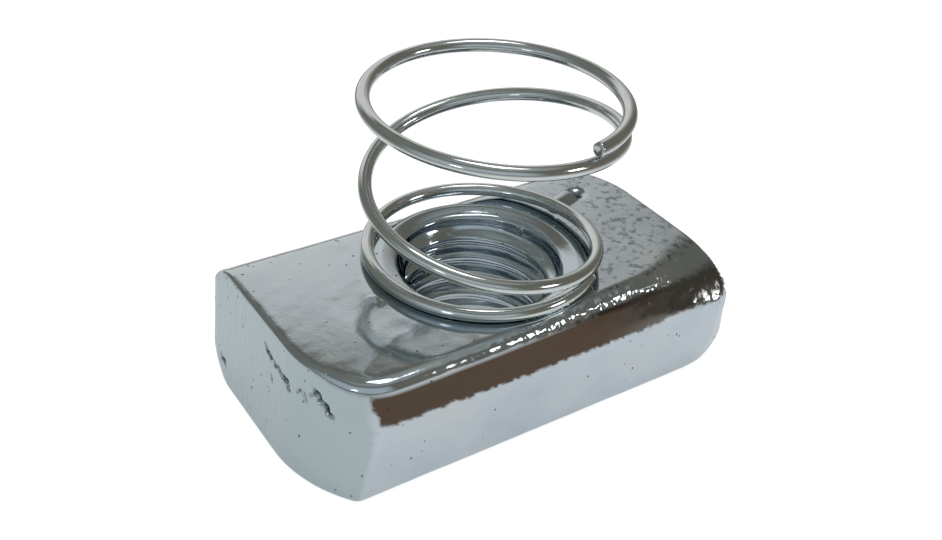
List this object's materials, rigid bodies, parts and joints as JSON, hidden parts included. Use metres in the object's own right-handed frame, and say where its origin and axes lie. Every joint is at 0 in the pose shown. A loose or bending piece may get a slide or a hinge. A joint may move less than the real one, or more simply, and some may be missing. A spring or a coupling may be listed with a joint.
{
  "type": "strut spring nut",
  "caption": "Oblong zinc-plated steel nut with a threaded hole, serrated gripping grooves and a helical wire spring staked on top, which turns and locks inside a slotted framing channel.",
  "frame": {"origin": "middle of the gripping face, on the thread axis", "axes": "+X along the nut, +Y across it, +Z from the gripping face up through the spring"},
  "size_m": [0.0358, 0.019, 0.0223],
  "materials": {
    "plated_block": "bright zinc plate",
    "spring_wire": "bright drawn wire"
  },
  "bodies": {
    "root": {"nut_body": "plated_block", "spring": "spring_wire"}
  },
  "joints": []
}
